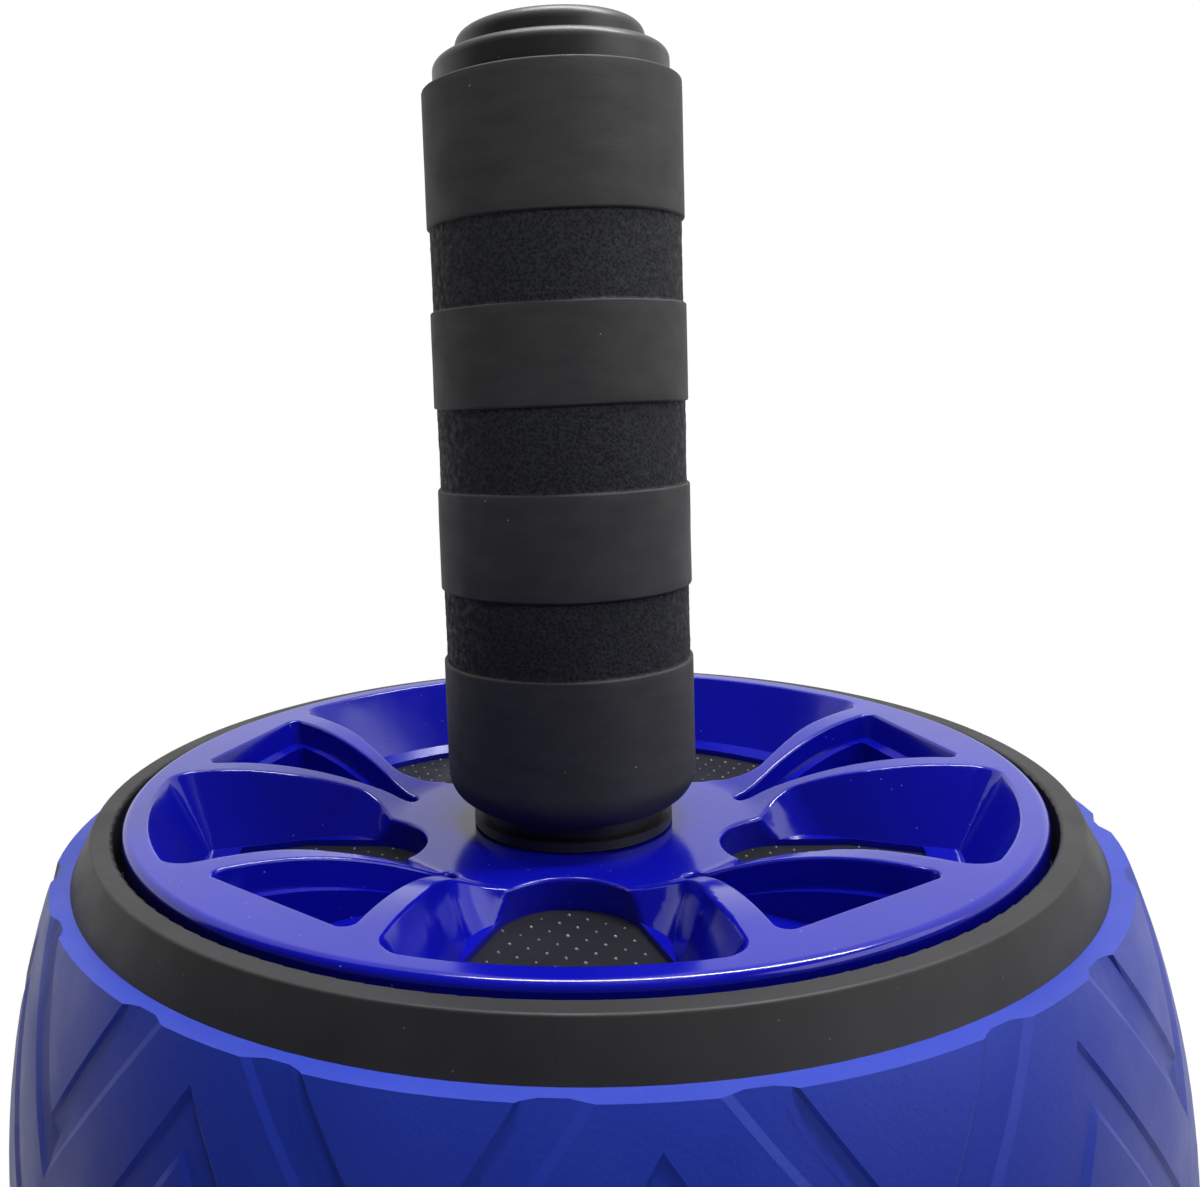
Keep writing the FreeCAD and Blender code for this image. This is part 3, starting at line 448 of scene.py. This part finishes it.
def make_foam_grip(hand, side, skin, foam):
    """A sleeve turned from the profile, its bands a little uneven and its sunk foam rough."""
    bm = bmesh.new()
    profile = grip_profile()
    rings = []
    step = 2 * math.pi / GRIP_SEGMENTS
    for radius, height, rough in profile:
        ring = []
        for index in range(GRIP_SEGMENTS):
            cosine, sine = math.cos(index * step), math.sin(index * step)
            where = Vector((cosine, sine, 0)) * radius
            where.z = height
            shifted = where * BAND_UNEVEN_SCALE + Vector((0, 0, HAND_OFFSET * side))
            uneven = BAND_UNEVEN * noise.noise(shifted)
            if rough:
                uneven += FOAM_COARSE * noise.noise(where * FOAM_COARSE_SCALE)
                uneven += FOAM_FINE * noise.noise(where * FOAM_FINE_SCALE)
            drift = Vector((cosine, sine, height * EDGE_WAVE_DRIFT))
            wave = EDGE_WAVE * noise.noise(drift * EDGE_WAVE_SCALE)
            inside = GRIP_START + MM < height < GRIP_END - MM
            reach = min(radius + uneven, GRIP_RADIUS)
            ring.append(bm.verts.new((cosine * reach, sine * reach, height + wave * inside)))
        rings.append((ring, rough))
    bore = []
    for height in (GRIP_START, GRIP_END):
        ring = []
        for index in range(GRIP_SEGMENTS):
            cosine, sine = math.cos(index * step), math.sin(index * step)
            ring.append(bm.verts.new((cosine * GRIP_BORE, sine * GRIP_BORE, height)))
        bore.append((ring, 0))
    loop = [bore[0]] + rings + [bore[1]]
    for (low, low_rough), (high, high_rough) in zip(loop, loop[1:] + loop[:1]):
        for index in range(GRIP_SEGMENTS):
            after = (index + 1) % GRIP_SEGMENTS
            face = bm.faces.new((low[index], low[after], high[after], high[index]))
            face.smooth = True
            face.material_index = 1 if low_rough or high_rough else 0
    bmesh.ops.recalc_face_normals(bm, faces=bm.faces)
    mesh = bpy.data.meshes.new(f"foam_sleeve_{hand}")
    bm.to_mesh(mesh)
    bm.free()
    onto_axle(mesh, side)
    mesh.materials.append(skin)
    mesh.materials.append(foam)
    piece = new_piece(f"foam_sleeve_{hand}", mesh, "handles")
    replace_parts(piece, f"foam_grip_{hand}")


def group_input(tree, name, kind, default):
    socket = tree.interface.new_socket(name, in_out="INPUT", socket_type=kind)
    socket.default_value = default


def pip_tree(material):
    """A turned square grid of small uneven domes, kept only inside the cover's openings."""
    tree = bpy.data.node_groups.new("backing_pips", "GeometryNodeTree")
    sizes = {
        "Pitch": PIP_PITCH, "Turn": PIP_TURN, "Pip Radius": PIP_RADIUS, "Margin": PIP_MARGIN,
        "Smallest": PIP_SMALLEST, "Largest": PIP_LARGEST,
        "Notch Radius": SLOT_NOTCH_RADIUS, "Notch Centre": SLOT_NOTCH_CENTRE,
        "Flare End": SLOT_FLARE_END, "Half Width": SLOT_HALF_WIDTH, "Slot End": SLOT_END,
    }
    tree.interface.new_socket("Geometry", in_out="OUTPUT", socket_type="NodeSocketGeometry")
    for name, value in sizes.items():
        group_input(tree, name, "NodeSocketFloat", value)
    group_input(tree, "Anchor", "NodeSocketVector", PIP_ANCHOR)
    given = tree.nodes.new("NodeGroupInput").outputs

    # a square field of points about the anchor, wide enough for the whole plate
    plate = maths(tree, "MULTIPLY", given["Slot End"], 2.0)
    steps = maths(tree, "CEIL", maths(tree, "DIVIDE", plate, given["Pitch"]))
    across = maths(tree, "MULTIPLY", steps, 2.0)
    width = maths(tree, "MULTIPLY", across, given["Pitch"])
    count = maths(tree, "ADD", across, 1.0)
    field = add_node(tree, "GeometryNodeMeshGrid", Size_X=width, Size_Y=width,
                     Vertices_X=count, Vertices_Y=count)
    turn_to = add_node(tree, "ShaderNodeCombineXYZ", Z=given["Turn"])
    turned = add_node(tree, "GeometryNodeTransform", Geometry=field.outputs["Mesh"],
                      Translation=given["Anchor"], Rotation=turn_to.outputs["Vector"])

    # each point's place in its fifth of the plate: along the window's middle line, and across it
    point = add_node(tree, "GeometryNodeInputPosition")
    place = add_node(tree, "ShaderNodeSeparateXYZ", Vector=point.outputs["Position"])
    x, y = place.outputs["X"], place.outputs["Y"]
    reach = hypotenuse(tree, x, y)
    turn = maths(tree, "ARCTAN2", y, x)
    fifth = 2 * math.pi / WINDOW_COUNT
    whole = maths(tree, "MULTIPLY", maths(tree, "ROUND", maths(tree, "DIVIDE", turn, fifth)), fifth)
    local = maths(tree, "SUBTRACT", turn, whole)
    along = maths(tree, "MULTIPLY", reach, maths(tree, "COSINE", local))
    side = maths(tree, "ABSOLUTE", maths(tree, "MULTIPLY", reach, maths(tree, "SINE", local)))

    # the opening's half width there, less a margin, and the points past it taken away
    inward = maths(tree, "MAXIMUM", maths(tree, "SUBTRACT", given["Notch Centre"], along), 0.0)
    radial = hypotenuse(tree, inward, side)
    flare = add_node(tree, "ShaderNodeMapRange", Value=along,
                     From_Min=given["Notch Centre"], From_Max=given["Flare End"],
                     To_Min=given["Notch Radius"], To_Max=given["Half Width"])
    allowed = maths(tree, "SUBTRACT", flare.outputs["Result"], given["Margin"])
    last = maths(tree, "SUBTRACT", given["Slot End"], given["Margin"])
    too_wide = maths(tree, "GREATER_THAN", radial, allowed)
    too_far = maths(tree, "GREATER_THAN", reach, last)
    outside = maths(tree, "MAXIMUM", too_wide, too_far)
    kept = add_node(tree, "GeometryNodeDeleteGeometry", {"domain": "POINT"},
                    Geometry=turned.outputs["Geometry"], Selection=outside)

    # a worn dome on each point that is left
    dome = add_node(tree, "GeometryNodeMeshUVSphere", Segments=PIP_SEGMENTS, Rings=PIP_RINGS,
                    Radius=given["Pip Radius"])
    worn = add_node(tree, "FunctionNodeRandomValue", {"data_type": "FLOAT"},
                    Min=given["Smallest"], Max=given["Largest"], Seed=PIP_SEED)
    pips = add_node(tree, "GeometryNodeInstanceOnPoints", Points=kept.outputs["Geometry"],
                    Instance=dome.outputs["Mesh"], Scale=worn.outputs["Value"])
    real = add_node(tree, "GeometryNodeRealizeInstances", Geometry=pips.outputs["Instances"])
    finish = add_node(tree, "GeometryNodeSetMaterial", Geometry=real.outputs["Geometry"],
                      Material=material)
    add_node(tree, "NodeGroupOutput", Geometry=finish.outputs["Geometry"])
    return tree


def make_backing_pips(material):
    """The pips of both backing plates, as plain meshes."""
    tree = pip_tree(material)
    for hand, side in SIDES:
        carrier = bpy.data.objects.new("pip_carrier", bpy.data.meshes.new("pip_carrier"))
        bpy.context.scene.collection.objects.link(carrier)
        modifier = carrier.modifiers.new("pips", "NODES")
        modifier.node_group = tree
        ready = carrier.evaluated_get(bpy.context.evaluated_depsgraph_get())
        mesh = bpy.data.meshes.new_from_object(ready)
        carrier.modifiers.remove(modifier)
        bpy.data.objects.remove(carrier)
        mesh.transform(Matrix.Translation((0, 0, BACKING_FACE)))
        onto_axle(mesh, side)
        mesh.name = f"backing_pips_{hand}"
        mesh.shade_smooth()
        new_piece(f"backing_pips_{hand}", mesh, "wheel")


def around(vert):
    """A point's angle round the axle."""
    return math.atan2(vert.co.z, vert.co.x)


def reach_of(point):
    """A point's distance from the axle's line."""
    return math.hypot(point.x, point.z)


def stitch(bm, first, second):
    """Joins two rings of points, each in order round the axle, with triangles."""
    turns = []
    for ring in (first, second):
        angles = [around(vert) for vert in ring]
        turns.append(angles + [angles[0] + 2 * math.pi])
    one = two = 0
    while one < len(first) or two < len(second):
        here, there = first[one % len(first)], second[two % len(second)]
        if two == len(second) or (one < len(first) and turns[0][one + 1] <= turns[1][two + 1]):
            one += 1
            bm.faces.new((here, first[one % len(first)], there))
        else:
            two += 1
            bm.faces.new((here, second[two % len(second)], there))


def turn_rim(bm, side):
    """Turns the cover's rounded rim anew and joins it to the faces at its two edges."""
    inner = RIM_RADIUS - RIM_ROUND
    old = []
    for face in bm.faces:
        heights = [vert.co.y for vert in face.verts]
        level = max(heights) - min(heights) < LEVEL_SLACK
        if not level and all(reach_of(vert.co) > inner - SLACK for vert in face.verts):
            old.append(face)
    bmesh.ops.delete(bm, geom=old, context="FACES")
    open_ends = {vert for edge in bm.edges if edge.is_boundary for vert in edge.verts}
    ends = [vert for vert in open_ends if reach_of(vert.co) > inner - SLACK]
    upper = sorted((vert for vert in ends if abs(vert.co.y) > RIM_FACE - SLACK), key=around)
    lower = sorted((vert for vert in ends if abs(vert.co.y) < RIM_FACE - RIM_ROUND), key=around)
    rings = [upper]
    for row in range(1, RIM_ROWS + 1):
        lean = math.pi / 2 * row / RIM_ROWS
        radius = inner + RIM_ROUND * math.sin(lean)
        height = side * (RIM_FACE - RIM_ROUND * (1 - math.cos(lean)))
        ring = []
        for index in range(RIM_SEGMENTS):
            angle = 2 * math.pi * (index + 0.5) / RIM_SEGMENTS - math.pi
            ring.append(bm.verts.new((radius * math.cos(angle), height, radius * math.sin(angle))))
        rings.append(ring)
    rings.append(lower)
    for first, second in zip(rings, rings[1:]):
        stitch(bm, first, second)
    bmesh.ops.recalc_face_normals(bm, faces=bm.faces)


def rim_normal(point, side):
    """The way the rim faces at a point: its flat face, its rounding or its upright side."""
    lean = min(max((reach_of(point) - RIM_RADIUS + RIM_ROUND) / RIM_ROUND, 0.0), 1.0)
    out = Vector((point.x, 0, point.z)).normalized()
    return out * lean + Vector((0, side, 0)) * math.sqrt(1 - lean * lean)


def plain_copy(name):
    """A node's surface with its seams joined, as a bmesh."""
    bm = bmesh.new()
    bm.from_mesh(nodes[name].data)
    bmesh.ops.remove_doubles(bm, verts=bm.verts, dist=SEAM_WIDTH)
    return bm


def to_mesh(bm, name, finish):
    """A smooth mesh with one finish, without the normals of the CAD mesh."""
    for face in bm.faces:
        face.smooth = True
    mesh = bpy.data.meshes.new(name)
    bm.to_mesh(mesh)
    bm.free()
    if "custom_normal" in mesh.attributes:
        mesh.attributes.remove(mesh.attributes["custom_normal"])
    mesh.materials.clear()
    mesh.materials.append(finish)
    return mesh


def make_smooth_cover(hand, side, finish):
    """The hub cover's own surface, its seams joined so that rounded edges shade without breaks."""
    bm = plain_copy(f"hub_cover_{hand}")
    turn_rim(bm, side)
    for edge in bm.edges:
        edge.smooth = edge.calc_face_angle(0.0) < SHARP_TURN
    carrier = bpy.data.objects.new("cover_carrier", to_mesh(bm, "cover_carrier", finish))
    bpy.context.scene.collection.objects.link(carrier)
    even = carrier.modifiers.new("even_normals", "WEIGHTED_NORMAL")
    even.keep_sharp = True
    ready = carrier.evaluated_get(bpy.context.evaluated_depsgraph_get())
    mesh = bpy.data.meshes.new_from_object(ready)
    bpy.data.objects.remove(carrier)
    mesh.name = f"cover_skin_{hand}"
    normals = [corner.vector.copy() for corner in mesh.corner_normals]
    for face in mesh.polygons:
        for index in face.loop_indices:
            point = mesh.vertices[mesh.loops[index].vertex_index].co
            high = abs(point.y) > RIM_FACE - RIM_ROUND - SLACK
            upright = abs(face.normal.y) < UPRIGHT_FACING
            if (high or upright) and reach_of(point) > RIM_RADIUS - RIM_ROUND - SLACK:
                normals[index] = rim_normal(point, side)
    mesh.normals_split_custom_set(normals)
    piece = new_piece(f"cover_skin_{hand}", mesh, "wheel")
    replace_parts(piece, f"hub_cover_{hand}")


def crown_normal(point, arc):
    """The way the tread's crowned face looks at a point."""
    lean = point.y / arc
    out = Vector((point.x, 0, point.z)).normalized()
    return out * math.sqrt(1 - lean * lean) + Vector((0, lean, 0))


def make_soft_tread(finish):
    """The tread's own surface, its moulded grooves shallower and their edges less sharp."""
    bm = plain_copy("tread")
    width = max(abs(vert.co.y) for vert in bm.verts)
    arc = (width ** 2 + CROWN_DROP ** 2) / (2 * CROWN_DROP)
    depths = []
    for vert in bm.verts:
        reach = reach_of(vert.co)
        crown = CROWN_RADIUS - arc + math.sqrt(arc ** 2 - vert.co.y ** 2)
        depth = crown - reach
        depths.append(depth)
        if SLACK < depth < GROOVE_DEPTH + SLACK:
            scale = (crown - depth * GROOVE_SHOWN) / reach
            vert.co.x *= scale
            vert.co.z *= scale
    mesh = to_mesh(bm, "tread_skin", finish)
    walls = [Vector() for vert in mesh.vertices]
    kinds = []
    for face in mesh.polygons:
        inside = [depths[index] for index in face.vertices]
        leans = face.normal.dot(crown_normal(face.center, arc))
        if leans < OUTWARD_FACING or max(inside) > 2 * GROOVE_DEPTH:
            kinds.append("other")
        elif max(inside) - min(inside) < GROOVE_FLAT_SHARE * GROOVE_DEPTH:
            kinds.append("crown")
        else:
            kinds.append("wall")
            for index in face.vertices:
                walls[index] += face.normal * face.area
    normals = [None] * len(mesh.loops)
    for face, kind in zip(mesh.polygons, kinds):
        for index in face.loop_indices:
            vertex = mesh.loops[index].vertex_index
            crown = crown_normal(mesh.vertices[vertex].co, arc)
            if kind == "crown":
                normals[index] = crown
            elif kind == "wall":
                wall = walls[vertex].normalized()
                normals[index] = wall.lerp(crown, GROOVE_EDGE_SOFTNESS).normalized()
            else:
                normals[index] = face.normal.copy()
    mesh.normals_split_custom_set(normals)
    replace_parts(new_piece("tread_skin", mesh, "wheel"), "tread")


def dress_nodes(cover, tread, grip):
    """Gives every CAD node its finish."""
    steel = zinc_steel()
    black = handle_black()
    finishes = {
        "axle": steel, "core_screws": steel, "lock_nut": steel, "nut_washer": steel,
        "thrust_washer": steel, "handle_core": black, "end_cap": black,
        "tread": tread, "wheel_core": core_black(),
        "edge_ring": ring_charcoal(), "hub_cover": cover, "cover_backing": backing_grey(),
        "bush": bush_nylon(), "foam_grip": grip,
    }
    for name, node in nodes.items():
        stem = name.removesuffix("_left").removesuffix("_right")
        node.data.materials.clear()
        node.data.materials.append(finishes[stem])


# Stage, light and camera
def make_floor():
    """White floor: the camera and reflections see it nearly white, under the object's shadow."""
    material, tree, shader = new_material("white_floor")
    shader.inputs["Base Color"].default_value = (0.9, 0.9, 0.9, 1.0)
    shader.inputs["Roughness"].default_value = 0.9
    glow = add_node(tree, "ShaderNodeEmission", Color=(1.0, 1.0, 1.0, 1.0), Strength=FLOOR_GLOW)
    path = add_node(tree, "ShaderNodeLightPath")
    seen = maths(tree, "MAXIMUM", path.outputs["Is Camera Ray"], path.outputs["Is Glossy Ray"])
    seen = maths(tree, "MAXIMUM", seen, path.outputs["Is Transmission Ray"])
    blend = add_node(tree, "ShaderNodeMixShader")
    tree.links.new(maths(tree, "MULTIPLY", seen, FLOOR_GLOW_SEEN), blend.inputs[0])
    tree.links.new(shader.outputs[0], blend.inputs[1])
    tree.links.new(glow.outputs[0], blend.inputs[2])
    tree.links.new(blend.outputs[0], tree.nodes["Material Output"].inputs["Surface"])
    mesh = bpy.data.meshes.new("floor")
    level = cad_box[0][2]
    signs = ((-1, -1), (1, -1), (1, 1), (-1, 1))
    corners = [(x * FLOOR_REACH, y * FLOOR_REACH, level) for x, y in signs]
    mesh.from_pydata(corners, [], [(0, 1, 2, 3)])
    mesh.materials.append(material)
    floor = bpy.data.objects.new("floor", mesh)
    bpy.context.scene.collection.objects.link(floor)


def make_world():
    """A faint even light from all sides, seen by the camera as white."""
    world = bpy.data.worlds.new("studio")
    world.use_nodes = True
    tree = world.node_tree
    lit = tree.nodes["Background"]
    lit.inputs["Color"].default_value = (1.0, 1.0, 1.0, 1.0)
    lit.inputs["Strength"].default_value = ROOM_LIGHT
    white = add_node(tree, "ShaderNodeBackground", Color=(1.0, 1.0, 1.0, 1.0), Strength=1.0)
    path = add_node(tree, "ShaderNodeLightPath")
    blend = add_node(tree, "ShaderNodeMixShader")
    tree.links.new(path.outputs["Is Camera Ray"], blend.inputs[0])
    tree.links.new(lit.outputs[0], blend.inputs[1])
    tree.links.new(white.outputs[0], blend.inputs[2])
    tree.links.new(blend.outputs[0], tree.nodes["World Output"].inputs["Surface"])
    bpy.context.scene.world = world


def make_light(name, place, size, power, target=WHEEL_FACE, mirrored=True):
    """A softbox turned towards its target. One that isn't mirrored stays out of reflections."""
    lamp = bpy.data.lights.new(name, "AREA")
    lamp.shape = "RECTANGLE"
    lamp.size, lamp.size_y = size
    lamp.energy = power
    light = bpy.data.objects.new(name, lamp)
    light.location = place
    light.visible_glossy = mirrored
    light.rotation_euler = (Vector(target) - Vector(place)).to_track_quat("-Z", "Y").to_euler()
    bpy.context.scene.collection.objects.link(light)


def make_lights():
    """A long light above, a large one to the right, and two weak fills kept out of reflections."""
    make_light("top_softbox", place=(0.2, 0.95, -0.05), size=(0.9, 0.066), power=14.8)
    make_light("right_softbox", place=(0.85, 0.45, 0.35), size=(0.5, 0.8), power=2.9)
    make_light("near_softbox", place=(0.04, 0.26, 0.14), size=(0.12, 0.08), power=0.33,
               target=(0.0, 0.15, 0.0), mirrored=False)
    make_light("low_softbox", place=(-0.25, -0.35, 0.60), size=(0.5, 0.4), power=1.5,
               target=(0.0, 0.05, 0.0), mirrored=False)


# The camera of the photograph: its place, its axes and the point of the image straight ahead.
# The window turn carries it round the axle to where the wheel's windows lie as photographed.
PHOTO_WIDTH = 1200
PHOTO_HEIGHT = 1187
FOCAL_PIXELS = 1200
STRAIGHT_AHEAD = (481.4, 520.7)
CAMERA_PLACE = Vector((0.0, 106.67, 180.89)) * MM
CAMERA_RIGHT = Vector((0.99717, -0.03798, -0.06488))
CAMERA_UP = Vector((0.03077, 0.99359, -0.10874))
CAMERA_AHEAD = Vector((-0.06860, -0.10643, -0.99195))
WINDOW_TURN = math.radians(1.7)
SENSOR_WIDTH = 36.0
CAMERA_CLIP_START = 0.01


def make_camera():
    data = bpy.data.cameras.new("camera")
    data.sensor_fit = "HORIZONTAL"
    data.sensor_width = SENSOR_WIDTH
    data.lens = SENSOR_WIDTH * FOCAL_PIXELS / PHOTO_WIDTH
    data.shift_x = (PHOTO_WIDTH / 2 - STRAIGHT_AHEAD[0]) / PHOTO_WIDTH
    data.shift_y = (STRAIGHT_AHEAD[1] - PHOTO_HEIGHT / 2) / PHOTO_WIDTH
    data.clip_start = CAMERA_CLIP_START
    camera = bpy.data.objects.new("camera", data)
    axes = Matrix((CAMERA_RIGHT, CAMERA_UP, -CAMERA_AHEAD)).transposed().to_4x4()
    turn = Matrix.Rotation(WINDOW_TURN, 4, "Y")
    camera.matrix_world = turn @ Matrix.Translation(CAMERA_PLACE) @ axes
    bpy.context.scene.collection.objects.link(camera)
    bpy.context.scene.camera = camera


cover_finish = cover_gloss_blue()
tread_finish = tread_satin_blue()
grip_skin_finish = grip_skin()
grip_foam_finish = grip_foam()
dress_nodes(cover_finish, tread_finish, grip_skin_finish)
for hand, side in SIDES:
    make_foam_grip(hand, side, grip_skin_finish, grip_foam_finish)
    make_smooth_cover(hand, side, cover_finish)
make_soft_tread(tread_finish)
make_backing_pips(pip_painted_highlight())
make_floor()
make_world()
make_lights()
make_camera()
bpy.context.scene.view_settings.view_transform = "Standard"
